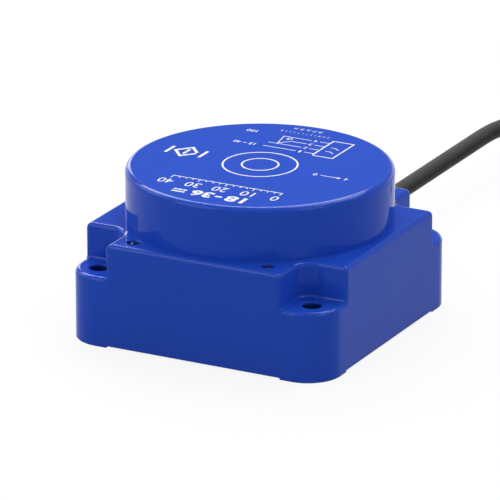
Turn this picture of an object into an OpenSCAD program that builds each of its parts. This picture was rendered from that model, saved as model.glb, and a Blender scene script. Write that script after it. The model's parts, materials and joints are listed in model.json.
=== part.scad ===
// Square-bodied inductive proximity sensor with a round sensing head and a moulded-on lead.
// Millimetres. Origin at the centre of the mounting plane, +Z towards the sensing face,
// the two indicators at the -Y side and the lead leaving through the +Y wall.

/* [Housing] */
// Side of the square housing
body_w = 80; // [76:1:92]
// Radius of the upright outer corners
corner_r = 10; // [7:0.5:13]
// Height of the corner lugs
lug_h = 20; // [17:0.5:23]
// Height of the cross-shaped deck
deck_h = 30; // [29:0.5:34]
// Full height, mounting plane to sensing face
body_h = 45; // [44:0.5:52]
// Distance of the round sensing head from the outer sides
head_inset = 3; // [2.7:0.1:4]
// Radius of the rounded head rim
rim_r = 1.75; // [0.5:0.25:2]
// Radius of the rounded deck edges
deck_edge_r = 1.2; // [0.6:0.1:1.6]
// Radius of the rounded lug edges
lug_edge_r = 1; // [0.4:0.1:1.5]
// Width of each screw pocket, both ways
pocket_w = 13.5; // [12.5:0.5:15]
// Radius of the inner corner of each screw pocket
pocket_r = 5; // [3:0.5:6]
// Side wall thickness
wall = 2.5; // [2:0.1:2.8]
// Thickness of the sensing face
face_t = 2; // [1.2:0.1:3]
// Thickness of the deck roof
deck_t = 2.5; // [2:0.1:3]
// Height that the corner foot pads stand proud
pad_relief = 0.5; // [0.2:0.1:1]

/* [Fixing holes] */
// Distance of the fixing holes from the outer sides
hole_inset = 7.5; // [7:0.25:8.5]
// Diameter of the fixing holes
hole_d = 5.4; // [4.5:0.1:6]

/* [Base] */
// Thickness of the base cover
cover_t = 2.5; // [2:0.1:3.5]
// Width of the ledge that the base cover sits on
cover_ledge = 1.2; // [0.8:0.1:1.5]
// Gap round the edge of the base cover
cover_gap = 0.15; // [0.1:0.05:0.3]
// Thickness of the resin layer over the base cover
resin_t = 2; // [1:0.1:3]
// Radius of the round recess in the base cover
recess_r = 8; // [5:0.5:11]
// Depth of the round recess in the base cover
recess_depth = 0.6; // [0.3:0.1:1.2]

/* [Sensing coil] */
// Thickness of the pad between sensing face and ferrite core
pad_t = 0.5; // [0.3:0.1:1]
// Gap between the ferrite core and the head wall
core_gap = 0.3; // [0.2:0.05:0.6]
// Height of the ferrite core
core_h = 9; // [8:0.25:9.5]
// Thickness of the ferrite core's back
core_back = 3.5; // [2.5:0.25:4]
// Thickness of the ferrite core's outer rim
core_rim = 3; // [2:0.25:4.5]
// Radius of the ferrite core's centre post
post_r = 9; // [7:0.5:11]
// Radius of the hole through the centre post
post_bore_r = 3; // [2:0.25:4]
// Gap between the bobbin and the ferrite core
bobbin_gap = 0.2; // [0.1:0.05:0.4]
// Wall thickness of the bobbin
bobbin_t = 0.8; // [0.6:0.1:1]
// Depth of the winding below the bobbin's edge
winding_inset = 2.5; // [1:0.5:5]
// Height of the ring that carries the core
carrier_h = 3; // [2:0.25:3.5]
// Width of the ring that carries the core
carrier_w = 6; // [5:0.5:8]
// Radius of the carrier's legs
leg_r = 1.8; // [1.2:0.1:2]
// Radius of the coil lead wires
lead_r = 0.4; // [0.25:0.05:0.6]
// Spacing of the two coil leads
lead_pitch = 8; // [6:0.5:12]
// Gap round the coil leads in the ferrite core
core_lead_gap = 0.8; // [0.5:0.1:1]
// Gap round the coil leads in the bobbin
bobbin_lead_gap = 0.4; // [0.2:0.1:0.6]
// Distance of the coil leads from the winding's outer edge
lead_inset = 3; // [2:0.5:5]

/* [Circuit board] */
// Thickness of the circuit board
board_t = 1.6; // [1:0.1:2]
// Distance from the deck roof to the circuit board
board_drop = 5.9; // [5.5:0.1:8]
// Gap between the circuit board and the walls
board_gap = 0.4; // [0.2:0.1:0.5]
// Radius of the board screw bosses
boss_r = 3; // [2.8:0.1:3.4]
// Gap between the screw heads and the inner walls
head_gap = 0.3; // [0.2:0.1:0.5]
// Radius of the board screws' threads
screw_r = 1.25; // [1:0.05:1.4]
// Length of thread in the boss
screw_bite = 4; // [3:0.25:5]
// Radius of the board screws' heads
screw_head_r = 2.2; // [1.9:0.1:2.3]
// Height of the board screws' heads
screw_head_h = 1.6; // [1:0.1:2]
// Gap round the board screws in the board
screw_gap = 0.15; // [0.1:0.05:0.3]

/* [Board parts] */
// Distance of the side bays from the board's centre line
bay_x = 13; // [11:0.5:14]
// Distance of the front row of parts from the board's centre
row_y = 20; // [17:0.5:21]
// Distance between the pins of the chips
pin_pitch = 1.27; // [1:0.01:1.4]
// Depth of the chips' bodies
chip_d = 3.9; // [3:0.1:4.5]
// Height of the chips' bodies
chip_h = 1.4; // [1:0.1:1.8]
// Width of the output transistors
transistor_w = 6.5; // [5.5:0.1:7]
// Depth of the output transistors
transistor_d = 6; // [5:0.1:6.5]
// Height of the output transistors
transistor_h = 2.3; // [1.8:0.1:2.6]
// Width of the protection diodes
diode_w = 4.4; // [4:0.1:5]
// Depth of the protection diodes
diode_d = 3.6; // [3:0.1:4]
// Height of the protection diodes
diode_h = 2.2; // [1.8:0.1:2.4]
// Width of the ceramic capacitors
ceramic_w = 3.2; // [2.8:0.1:3.6]
// Depth of the ceramic capacitors
ceramic_d = 1.6; // [1.4:0.1:2]
// Height of the ceramic capacitors
ceramic_h = 1.2; // [0.8:0.1:1.4]
// Width of the chip resistors
resistor_w = 2; // [1.6:0.1:2.2]
// Depth of the chip resistors
resistor_d = 1.25; // [1:0.05:1.4]
// Height of the chip resistors
resistor_h = 0.6; // [0.4:0.05:0.7]
// Radius of the smoothing capacitor
can_r = 4; // [3:0.25:4.5]
// Room between the smoothing capacitor and the ferrite core
can_room = 3.5; // [3:0.25:5]
// Radius of the choke's flanges
choke_r = 4; // [3:0.25:4.5]
// Radius of the choke's waist
choke_waist_r = 1.6; // [1.2:0.1:2]
// Thickness of the choke's flanges
choke_flange_t = 1.2; // [0.8:0.1:1.3]
// Room between the choke and the ferrite core
choke_room = 4.9; // [4:0.1:5]
// Side of the trimming resistor
trimmer_w = 4.5; // [3.5:0.1:5]
// Height of the trimming resistor
trimmer_h = 2.4; // [1.8:0.1:3]

/* [Indicators] */
// Distance of each indicator from the arm's inner side wall
led_side = 3.5; // [3:0.25:5]
// Radius of the indicator windows
window_r = 2; // [1.5:0.1:2.1]
// Depth of the lens below the deck
lens_depth = 0.7; // [0.5:0.1:1]
// Radius of the lens collar
lens_collar_r = 2.4; // [2.2:0.05:2.45]
// Thickness of the lens collar
lens_collar_t = 0.8; // [0.4:0.1:1]
// Gap between the lens collar and the inner front wall
lens_gap = 0.1; // [0.05:0.05:0.2]
// Radius of the dome on the lens
lens_dome_r = 3; // [2.5:0.25:4]
// Radius of the indicator lamps
lamp_r = 1.5; // [1:0.1:1.8]

/* [Lead] */
// Diameter of the lead
lead_d = 5; // [4.5:0.1:5.5]
// Wall thickness of the bend relief where it passes through the housing
relief_t = 1.5; // [1:0.1:2]
// Radius of the bend relief's inner flange
flange_r = 5.2; // [4.8:0.1:6]
// Thickness of the bend relief's inner flange
flange_t = 2.5; // [1.5:0.25:3.5]
// Height of the flange above the resin
flange_rise = 0.3; // [0.2:0.1:1]
// Radius of the bend relief's outer collar
collar_r = 5.5; // [5.2:0.1:6.5]
// Thickness of the bend relief's outer collar
collar_t = 1.5; // [1:0.1:2.5]
// Length of the bend relief outside the housing
relief_l = 14; // [10:0.5:20]
// Radius of the bend relief's tip
tip_r = 3.6; // [3.4:0.1:4.4]
// Length of the crimped ring on the lead
crimp_l = 5; // [3:0.5:7]
// Wall thickness of the crimped ring
crimp_t = 1.2; // [0.8:0.1:1.6]
// Length of jacket past the crimped ring
jacket_in = 2; // [1:0.25:4]
// Radius of the insulated cores
core_wire_r = 0.65; // [0.5:0.05:0.75]
// Distance between the cores where they are soldered
pad_pitch = 4; // [3.5:0.25:5]
// Distance from the jacket's end to the solder joints
pad_reach = 9; // [7:0.5:10]
// Height of the solder joints
solder_h = 1; // [0.6:0.1:1.5]
// Radius of the solder joints
solder_r = 1.1; // [0.8:0.1:1.4]
// Length of the bare tinned tips
tip_l = 6; // [4:0.5:8]

/* [Hidden] */
$fn = 96;
half = body_w / 2;
arm = half - pocket_w;
arm_w = 2 * arm;
head_r = half - head_inset;
corner_c = half - corner_r;
hole_c = half - hole_inset;

// Inner space: the arms of the cross and the round head
arm_in = arm - wall;
reach = half - wall;
head_in = head_r - wall;
cover_z = pad_relief + cover_t;
resin_z = cover_z + resin_t;
roof_z = deck_h - deck_t;
face_z = body_h - face_t;

// Circuit board
board_top = roof_z - board_drop;
board_bot = board_top - board_t;
boss_x = reach - screw_head_r - head_gap;
boss_y = arm_in - screw_head_r - head_gap;

// Core stack, from the sensing face down
core_top = face_z - pad_t;
core_bot = core_top - core_h;
core_r = head_in - core_gap;
bobbin_z = core_bot + core_back;
bobbin_in = post_r + bobbin_gap;
bobbin_out = core_r - core_rim - bobbin_gap;
winding_in = bobbin_in + bobbin_t;
winding_out = bobbin_out - winding_inset;
carrier_z = core_bot - carrier_h;
leg_c = arm_in - board_gap - leg_r - 0.1;
lead_y = winding_out - lead_inset;
core_room = core_bot - board_top;
can_h = core_room - can_room;
choke_h = core_room - choke_room;

// Indicators
led_x = arm_in - led_side;
led_y = reach - lens_collar_r - lens_gap;
lens_top = deck_h - lens_depth;

// Lead
jacket_r = lead_d / 2;
bore_r = jacket_r + 0.05;
shank_r = jacket_r + relief_t;
lead_z = resin_z + flange_rise + flange_r;
flange_y = reach - flange_t;
crimp_y = flange_y - crimp_l;
jacket_y = crimp_y - jacket_in;
pad_y = jacket_y - pad_reach;
core_c = 0.36 * jacket_r;

// Free lead: the points that its route is drawn through, and the coil of the rest
ROUTE = [[0, half, lead_z], [0, 60, lead_z], [0, 80, lead_z], [0, 100, lead_z], [0, 120, lead_z],
    [0, 140, 10.5], [0, 150, 10.5], [2, 161, 9.5], [8.5, 170, 7.5], [17.5, 176.5, 5],
    [28.5, 178.5, 3.6], [35, 178.5, 3.35], [41, 178.5, 3.35]];
COIL_X = 60;
COIL_Y = 145;
COIL_IN = 20.6;
COIL_OUT = 36;
COIL_H = 20.4;
TIE_T = 0.8;
TIE_W = 3;
TIE_AT = [45, 225];
TAIL = [[93.5, 126, 18.65], [93.5, 118, 18.65], [93.5, 110, 17.2], [93.5, 100, 13.2], [93.5, 90, 8.6],
    [93.5, 80, 5], [93.5, 70, 3], [93.5, 60, 2.6], [93.5, 50, 2.6], [93.5, 40, 2.6]];
END = [93.5, 40, 2.6];

// Sweep along a route: a round section of radius r and n sides on a smooth curve
function unit(v) = v / norm(v);
function blend(a, b, c, d, t) = ((1 - t) * (1 - t) * (1 - t) * a
    + (3 * t * t * t - 6 * t * t + 4) * b + (3 * t * t - 3 * t * t * t + 3 * t + 1) * c
    + t * t * t * d) / 6;
// Both ends are mirrored, so that the curve starts and stops on its end points
function framed(p) = let (n = len(p)) concat([2 * p[0] - p[1]], p, [2 * p[n - 1] - p[n - 2]]);
function curve(p, k) = let (q = framed(p), n = len(p))
    concat([for (i = [0:n - 2], j = [0:k - 1]) blend(q[i], q[i + 1], q[i + 2], q[i + 3], j / k)], [p[n - 1]]);
function heading(c, i) = unit(c[min(i + 1, len(c) - 1)] - c[max(i - 1, 0)]);
module swept(c, r, n, side = [0, 0, 1]) {
    rings = [for (i = [0:len(c) - 1]) let (t = heading(c, i), u = unit(cross(t, side)), v = cross(u, t))
        for (j = [0:n - 1]) c[i] + r * (cos(360 * j / n) * u + sin(360 * j / n) * v)];
    m = len(c);
    polyhedron(rings, concat(
        [[for (j = [0:n - 1]) j]],
        [[for (j = [n - 1:-1:0]) (m - 1) * n + j]],
        [for (i = [0:m - 2], j = [0:n - 1]) [i * n + j, (i + 1) * n + j, (i + 1) * n + (j + 1) % n]],
        [for (i = [0:m - 2], j = [0:n - 1]) [i * n + j, (i + 1) * n + (j + 1) % n, i * n + (j + 1) % n]]));
}

module corners(x, y) {
    for (sx = [-1, 1], sy = [-1, 1]) translate([sx * x, sy * y, 0]) children();
}
module quarters() {
    for (sx = [0, 1], sy = [0, 1]) mirror([sx, 0, 0]) mirror([0, sy, 0]) children();
}
// Centred block with its lower face at z
module slab(w, d, h, z = 0) {
    translate([-w / 2, -d / 2, z]) cube([w, d, h]);
}
// Ring about the Z axis
module ring(r_out, r_in, h, z) {
    difference() {
        translate([0, 0, z]) cylinder(r = r_out, h = h);
        translate([0, 0, z - 1]) cylinder(r = r_in, h = h + 2);
    }
}
// Half profile with a rounded outer top corner
module soft_profile(w, h, r) {
    square([w, h - r]);
    square([w - r, h]);
    translate([w - r, h - r]) circle(r = r);
}
// Outline of the inner space, grown or shrunk by a margin
module inner_outline(grow = 0) {
    square([2 * (arm_in + grow), 2 * (reach + grow)], center = true);
    square([2 * (reach + grow), 2 * (arm_in + grow)], center = true);
    circle(r = head_in + grow);
}

// ---- Housing ----
// One corner lug with its rounded outer edge
module lug() {
    translate([corner_c, corner_c, 0]) rotate_extrude(angle = 90) soft_profile(corner_r, lug_h, lug_edge_r);
    translate([arm - 1, 0, 0]) rotate([90, 0, 90]) linear_extrude(corner_c - arm + 1)
        soft_profile(half, lug_h, lug_edge_r);
    translate([0, corner_c, 0]) rotate([90, 0, 0]) linear_extrude(corner_c - arm + 1)
        soft_profile(half, lug_h, lug_edge_r);
}
// One straight arm of the deck with rounded ends and top edges
module deck_arm() {
    r = deck_edge_r;
    z = lug_h - 1;
    intersection() {
        translate([0, 0, z]) linear_extrude(deck_h - z) {
            square([body_w, arm_w - 2 * r], center = true);
            square([body_w - 2 * r, arm_w], center = true);
            for (sx = [-1, 1], sy = [-1, 1]) translate([sx * (half - r), sy * (arm - r)]) circle(r = r);
        }
        translate([0, half + 1, 0]) rotate([90, 0, 0]) linear_extrude(body_w + 2) {
            soft_profile(half, deck_h, r);
            mirror([1, 0]) soft_profile(half, deck_h, r);
        }
        translate([-half - 1, 0, 0]) rotate([90, 0, 90]) linear_extrude(body_w + 2) {
            soft_profile(arm, deck_h, r);
            mirror([1, 0]) soft_profile(arm, deck_h, r);
        }
    }
}
module shell() {
    // Solid core of the lower block
    slab(body_w, arm_w, lug_h);
    slab(arm_w, body_w, lug_h);
    quarters() lug();
    deck_arm();
    rotate([0, 0, 90]) deck_arm();
    // Rounded inner corners of the screw pockets, with the same rounded top edge
    quarters() difference() {
        translate([arm - deck_edge_r - 0.3, arm - deck_edge_r - 0.3, lug_h - 1])
            cube([pocket_r + deck_edge_r + 0.3, pocket_r + deck_edge_r + 0.3, deck_h - lug_h + 1]);
        translate([arm + pocket_r, arm + pocket_r, 0]) rotate_extrude() difference() {
            translate([0, lug_h - 2]) square([pocket_r + deck_edge_r, deck_h - lug_h + 4]);
            translate([pocket_r, lug_h - 3]) square([deck_edge_r + 1, deck_h - deck_edge_r - lug_h + 3]);
            translate([pocket_r + deck_edge_r, deck_h - deck_edge_r]) circle(r = deck_edge_r);
        }
    }
    translate([0, 0, lug_h]) rotate_extrude() soft_profile(head_r, body_h - lug_h, rim_r);
}
module housing() color("royalblue") {
    difference() {
        union() {
            difference() {
                shell();
                // Recess of the base cover, then the inner space
                translate([0, 0, -1]) linear_extrude(cover_z + 1) inner_outline(cover_ledge);
                translate([0, 0, cover_z - 1]) linear_extrude(roof_z - cover_z + 1) inner_outline();
                translate([0, 0, roof_z - 1]) cylinder(r = head_in, h = face_z - roof_z + 1);
            }
            corners(boss_x, boss_y) translate([0, 0, board_top])
                cylinder(r = boss_r, h = roof_z - board_top + 1);
        }
        // Relief between the foot pads
        slab(body_w + 2, arm_w, pad_relief + 1, -1);
        slab(arm_w, body_w + 2, pad_relief + 1, -1);
        corners(hole_c, hole_c) translate([0, 0, -1]) cylinder(d = hole_d, h = lug_h + 2);
        corners(boss_x, boss_y) translate([0, 0, board_top - 1]) cylinder(r = screw_r, h = screw_bite + 1.5);
        for (s = [-1, 1]) translate([s * led_x, -led_y, roof_z - 1])
            cylinder(r = window_r, h = deck_t + 2);
        translate([0, half + 1, lead_z]) rotate([90, 0, 0]) cylinder(r = shank_r, h = wall + 2);
    }
}

// ---- Base ----
module base_cover() color("royalblue") difference() {
    translate([0, 0, pad_relief]) linear_extrude(cover_t) inner_outline(cover_ledge - cover_gap);
    translate([0, 0, pad_relief - 1]) cylinder(r = recess_r, h = recess_depth + 1);
}
module resin_layer() color("dimgray")
    translate([0, 0, cover_z]) linear_extrude(resin_t) inner_outline();

// ---- Sensing coil ----
module face_pad() color("gainsboro") ring(core_r, post_bore_r, pad_t, core_top);
// Upright round bars where the two coil leads run
module lead_bars(r, z, h) {
    for (s = [-1, 1]) translate([s * lead_pitch / 2, -lead_y, z]) cylinder(r = r, h = h);
}
module ferrite_core() color("darkslategray") difference() {
    rotate_extrude() {
        translate([post_bore_r, core_bot]) square([core_r - post_bore_r, core_back]);
        translate([post_bore_r, core_bot]) square([post_r - post_bore_r, core_h]);
        translate([core_r - core_rim, core_bot]) square([core_rim, core_h]);
    }
    lead_bars(lead_r + core_lead_gap, core_bot - 1, core_back + 2);
}
module coil_bobbin() color("ivory") difference() {
    rotate_extrude() {
        translate([bobbin_in, bobbin_z]) square([bobbin_t, core_top - bobbin_z]);
        translate([bobbin_in, bobbin_z]) square([bobbin_out - bobbin_in, bobbin_t]);
        translate([bobbin_in, core_top - bobbin_t]) square([bobbin_out - bobbin_in, bobbin_t]);
    }
    lead_bars(lead_r + bobbin_lead_gap, bobbin_z - 1, bobbin_t + 1.5);
}
module sensing_coil() color("peru")
    ring(winding_out, winding_in, core_top - bobbin_z - 2 * bobbin_t, bobbin_z + bobbin_t);
module coil_leads() color("sienna") lead_bars(lead_r, board_top, bobbin_z + bobbin_t - board_top);
module core_carrier() color("black") {
    ring(core_r, core_r - carrier_w, carrier_h, carrier_z);
    corners(leg_c, leg_c) translate([0, 0, board_top]) cylinder(r = leg_r, h = carrier_z - board_top + 0.5);
}

// ---- Circuit board ----
module circuit_board() color("seagreen") difference() {
    translate([0, 0, board_bot]) linear_extrude(board_t) inner_outline(-board_gap);
    corners(boss_x, boss_y) translate([0, 0, board_bot - 1])
        cylinder(r = screw_r + screw_gap, h = board_t + 2);
}
module board_screws() color("silver") corners(boss_x, boss_y) difference() {
    union() {
        translate([0, 0, board_bot - screw_head_h]) cylinder(r = screw_head_r, h = screw_head_h);
        translate([0, 0, board_bot - 0.1]) cylinder(r = screw_r, h = board_t + screw_bite + 0.1);
    }
    for (a = [0, 90]) rotate([0, 0, a])
        slab(0.2 * screw_head_r, screw_head_r, screw_head_h / 2 + 1, board_bot - screw_head_h - 1);
}
// Puts children on the board's upper face, or hangs them upside down from its lower face
module above(x, y) translate([x, y, board_top]) children();
module below(x, y) translate([x, y, board_bot]) mirror([0, 0, 1]) children();
// Small-outline chip with n pins on each side
module so_chip(n) {
    slab((n + 0.2) * pin_pitch, chip_d, chip_h, 0.1 * chip_h);
    for (i = [0:n - 1], s = [-1, 1]) translate([(i - (n - 1) / 2) * pin_pitch, s * 0.6 * chip_d, 0])
        slab(pin_pitch / 3, 0.3 * chip_d, 0.4 * chip_h);
}
module oscillator_chip() color("black") above(0, -row_y / 2) so_chip(4);
module evaluation_chip() color("black") below(0, -row_y / 2) so_chip(7);
module output_transistors() color("dimgray") for (s = [-1, 1]) below(s * bay_x, row_y / 5) {
    slab(transistor_w, transistor_d, transistor_h);
    translate([0, 0.6 * transistor_d, 0]) slab(0.8 * transistor_w, 0.4 * transistor_d, transistor_h / 4);
}
module protection_diodes() color("black")
    for (s = [-1, 1], k = [0.4, 1.2]) below(s * k * bay_x, -row_y) slab(diode_w, diode_d, diode_h);
module smoothing_capacitor() color("midnightblue") above(-bay_x, row_y / 2) rotate_extrude() {
    square([can_r, 0.95 * can_h]);
    square([0.9 * can_r, can_h]);
}
module ceramic_capacitors() color("tan") for (s = [-1, 1], p = [[0.9, -0.4], [0.7, 1]])
    above(s * p[0] * bay_x, p[1] * row_y) slab(ceramic_w, ceramic_d, ceramic_h);
module chip_resistors() color("black")
    for (s = [-1, 1], p = [[0.3, -0.8], [0.3, -1], [0.6, -0.7], [0.6, 0]])
        above(s * p[0] * bay_x, p[1] * row_y) slab(resistor_w, resistor_d, resistor_h);
module choke_core() color("darkslategray") above(bay_x, row_y / 2) rotate_extrude() {
    square([choke_r, choke_flange_t]);
    square([choke_waist_r, choke_h]);
    translate([0, choke_h - choke_flange_t]) square([choke_r, choke_flange_t]);
}
module choke_winding() color("peru") above(bay_x, row_y / 2)
    ring(0.85 * choke_r, choke_waist_r, choke_h - 2 * choke_flange_t, choke_flange_t);
module trim_resistor() color("royalblue") above(0, 0.4 * row_y) difference() {
    slab(trimmer_w, trimmer_w, trimmer_h);
    translate([0, 0, 0.8 * trimmer_h]) cylinder(r = 0.3 * trimmer_w, h = trimmer_h);
}

// ---- Indicators ----
lamp_h = board_drop - lens_collar_t - 0.2;
module lamp(s) above(s * led_x, -led_y) rotate_extrude() intersection() {
    union() {
        square([lamp_r + 0.35, 0.15 * board_drop]);
        square([lamp_r, lamp_h - lamp_r]);
        translate([0, lamp_h - lamp_r]) circle(r = lamp_r);
    }
    square([2 * lamp_r, lamp_h]);
}
module power_lamp() color("yellowgreen") lamp(-1);
module output_lamp() color("gold") lamp(1);
// Lens: a collar under the roof and a domed stem in the window
module lens(s) translate([s * led_x, -led_y, 0]) rotate_extrude() {
    translate([0, roof_z - lens_collar_t]) square([lens_collar_r, lens_collar_t]);
    intersection() {
        translate([0, roof_z - 0.1]) square([window_r - 0.05, deck_t]);
        translate([0, lens_top - lens_dome_r]) circle(r = lens_dome_r);
    }
}
module power_lens() color("yellowgreen") lens(-1);
module output_lens() color("gold") lens(1);

// ---- Lead entry ----
// Solid of revolution about the lead's own axis, measured outward from the housing centre
module on_lead() translate([0, 0, lead_z]) rotate([-90, 0, 0]) rotate_extrude() children();
module bend_relief() color("darkslategray") on_lead() difference() {
    union() {
        translate([0, flange_y]) square([flange_r, flange_t]);
        translate([0, reach - 0.5]) square([shank_r, wall + 1]);
        translate([0, half]) square([collar_r, collar_t]);
        polygon([[0, half], [collar_r - 0.6, half], [collar_r - 0.6, half + collar_t],
            [tip_r, half + relief_l], [0, half + relief_l]]);
    }
    translate([-1, 0]) square([bore_r + 1, 200]);
}
module crimp_ring() color("silver") on_lead() translate([jacket_r, crimp_y]) square([crimp_t, crimp_l]);
module lead_entry() color("dimgray") on_lead()
    translate([0, jacket_y]) square([jacket_r, half - jacket_y]);
// Inner cores, from the jacket's end to the board
module core_wire(i, sx, sz) {
    x = (i - 1.5) * pad_pitch;
    z = board_bot - solder_h;
    swept(curve([[sx * core_c, jacket_y, lead_z + sz * core_c],
        [sx * core_c, jacket_y - 1.5, lead_z + sz * core_c],
        [1.6 * sx * core_c, jacket_y - 3.5, lead_z + 1.2 * sz * core_c],
        [0.8 * x, pad_y + 2.5, lead_z + 1.3 * sz * core_c + 1],
        [x, pad_y, z - 3], [x, pad_y, z - 1.5], [x, pad_y, z]], 3), core_wire_r, 8, [1, 0, 0]);
}
module core_brown() color("saddlebrown") core_wire(0, -1, 1);
module core_black() color("black") core_wire(1, -1, -1);
module core_white() color("white") core_wire(2, 1, -1);
module core_blue() color("blue") core_wire(3, 1, 1);
module solder_joints() color("silver") for (i = [0:3])
    translate([(i - 1.5) * pad_pitch, pad_y, board_bot - solder_h]) cylinder(r = solder_r, h = solder_h);

// ---- Free lead ----
module lead() color("dimgray") swept(curve(ROUTE, 3), jacket_r, 10);
module coil_ring() translate([COIL_X, COIL_Y, TIE_T]) rotate_extrude()
    translate([COIL_IN, 0]) square([COIL_OUT - COIL_IN, COIL_H]);
module lead_coil() color("dimgray") coil_ring();
// Bands round the bundle, which the coil stands on
module coil_ties() color("black") difference() {
    for (a = TIE_AT) translate([COIL_X, COIL_Y, 0]) rotate([0, 0, a])
        translate([COIL_IN - TIE_T, -TIE_W / 2, 0])
            cube([COIL_OUT - COIL_IN + 2 * TIE_T, TIE_W, COIL_H + 2 * TIE_T]);
    coil_ring();
}
module lead_tail() color("dimgray") swept(curve(TAIL, 3), jacket_r, 10);
// Stripped end: four cores that lie side by side on the ground
END_X = [-7, -2.4, 2.4, 7];
END_Y = [-34, -36, -36, -34];
LYING = core_wire_r + 0.1 - END[2];
module end_core(i, sx, sz) translate(END) swept(curve([[sx * core_c, 0, sz * core_c],
    [sx * core_c, -2, sz * core_c], [1.3 * sx * core_c, -6, 0.8 * sz * core_c],
    [0.6 * END_X[i], -13, LYING + 0.1], [0.9 * END_X[i], -21, LYING],
    [END_X[i], END_Y[i] + 6, LYING], [END_X[i], END_Y[i], LYING]], 3), core_wire_r, 8);
module end_brown() color("saddlebrown") end_core(0, -1, 1);
module end_black() color("black") end_core(1, -1, -1);
module end_white() color("white") end_core(2, 1, -1);
module end_blue() color("blue") end_core(3, 1, 1);
module end_tips() color("silver") for (i = [0:3])
    translate(END + [END_X[i], END_Y[i], LYING]) rotate([90, 0, 0])
        cylinder(r = 0.7 * core_wire_r, h = tip_l);

housing();
base_cover();
resin_layer();
face_pad();
ferrite_core();
coil_bobbin();
sensing_coil();
coil_leads();
core_carrier();
circuit_board();
board_screws();
oscillator_chip();
evaluation_chip();
output_transistors();
protection_diodes();
smoothing_capacitor();
ceramic_capacitors();
chip_resistors();
choke_core();
choke_winding();
trim_resistor();
power_lamp();
output_lamp();
power_lens();
output_lens();
bend_relief();
crimp_ring();
lead_entry();
core_brown();
core_black();
core_white();
core_blue();
solder_joints();
lead();
lead_coil();
coil_ties();
lead_tail();
end_brown();
end_black();
end_white();
end_blue();
end_tips();
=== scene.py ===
"""Proximity sensor: a square blue housing with a round sensing head, and its coiled lead."""
import itertools
import json
import math

import bmesh
import bpy
from mathutils import Matrix, Vector
from mathutils.geometry import convex_hull_2d


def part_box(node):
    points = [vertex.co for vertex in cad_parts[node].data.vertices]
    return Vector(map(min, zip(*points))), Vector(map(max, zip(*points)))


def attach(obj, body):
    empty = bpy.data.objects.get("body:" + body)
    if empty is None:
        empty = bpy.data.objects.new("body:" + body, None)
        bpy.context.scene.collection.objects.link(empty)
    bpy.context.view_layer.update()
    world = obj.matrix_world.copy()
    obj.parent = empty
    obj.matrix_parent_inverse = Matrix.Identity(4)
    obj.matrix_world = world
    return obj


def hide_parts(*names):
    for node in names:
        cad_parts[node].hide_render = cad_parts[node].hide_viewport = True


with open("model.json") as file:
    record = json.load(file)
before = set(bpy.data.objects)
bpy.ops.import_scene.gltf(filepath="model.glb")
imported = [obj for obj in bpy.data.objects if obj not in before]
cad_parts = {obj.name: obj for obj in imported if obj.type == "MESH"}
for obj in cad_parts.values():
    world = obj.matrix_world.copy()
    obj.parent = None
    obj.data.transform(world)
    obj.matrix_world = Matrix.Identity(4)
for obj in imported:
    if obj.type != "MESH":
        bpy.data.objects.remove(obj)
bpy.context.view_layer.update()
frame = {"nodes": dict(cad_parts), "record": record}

# ---------------------------------------------------------------- sizes, in metres
mm = 0.001
HOUSING_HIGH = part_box("housing")[1]
HALF = HOUSING_HIGH.x                  # from the middle to each side wall
BODY_TOP = HOUSING_HIGH.z              # the sensing face
CORNER_R = 10 * mm
LUG_TOP = 20 * mm
DECK_TOP = 30 * mm
HEAD_R = HALF - 3 * mm
HEAD_RIM = 1.75 * mm
POCKET = 13.5 * mm                     # width of each screw pocket
POCKET_R = 5 * mm
ARM = HALF - POCKET                    # half width of the deck's arms
DECK_EDGE = 1.5 * mm
UPRIGHT_EDGE = 0.9 * mm
LUG_EDGE = 1.4 * mm
FLOOR_FILLET = 0.75 * mm
FOOT_EDGE = 0.3 * mm
HOLE_EDGE = 0.25 * mm
FIXING_R = 2.7 * mm
FIXING_AT = HALF - 7.5 * mm
WALL = 2.5 * mm
FACE_T = 2 * mm
DECK_T = 2.5 * mm
COVER_LEDGE = 1.2 * mm
COVER_GAP = 0.15 * mm
RECESS_R, RECESS_DEPTH = 8 * mm, 0.6 * mm
INK = 0.03 * mm                        # thickness of the print
BEYOND = 5 * mm                        # how far a cutting tool runs past what it cuts
SLACK = 0.02 * mm                      # closer than this counts as the same place
WELD = 0.001 * mm                      # points closer than this become one

COVER_LOW, COVER_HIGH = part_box("base_cover")
FOOT_RELIEF = COVER_LOW.z
BOARD_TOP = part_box("circuit_board")[1].z
SCREWS_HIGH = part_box("board_screws")[1]
SCREW_HEAD_R, SCREW_R, BOSS_R = 2.2 * mm, 1.25 * mm, 3 * mm
BOSS_X, BOSS_Y = SCREWS_HIGH.x - SCREW_HEAD_R, SCREWS_HIGH.y - SCREW_HEAD_R
LED_LOW, LED_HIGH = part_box("output_lens")
LED_X, LED_Y = (LED_LOW.x + LED_HIGH.x) / 2, (LED_LOW.y + LED_HIGH.y) / 2
WINDOW_R = 1.85 * mm                   # of each indicator window

RELIEF_LOW, RELIEF_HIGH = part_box("bend_relief")
LEAD_Z = (RELIEF_LOW.z + RELIEF_HIGH.z) / 2
JACKET_R = 2.5 * mm
SHANK_R = JACKET_R + 1.5 * mm


# ---------------------------------------------------------------- camera
AZIMUTH, ELEVATION = math.radians(27.42), math.radians(19.6)
CAMERA_DISTANCE = 1.6671
LENS, SENSOR = 436.62, 36.0            # in millimetres
AIM = Vector((0, 0, 20 * mm))
AIM_RIGHT, AIM_BELOW = 10.12 / 500, 0.42 / 500     # where AIM lies off the middle, in frame widths


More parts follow.
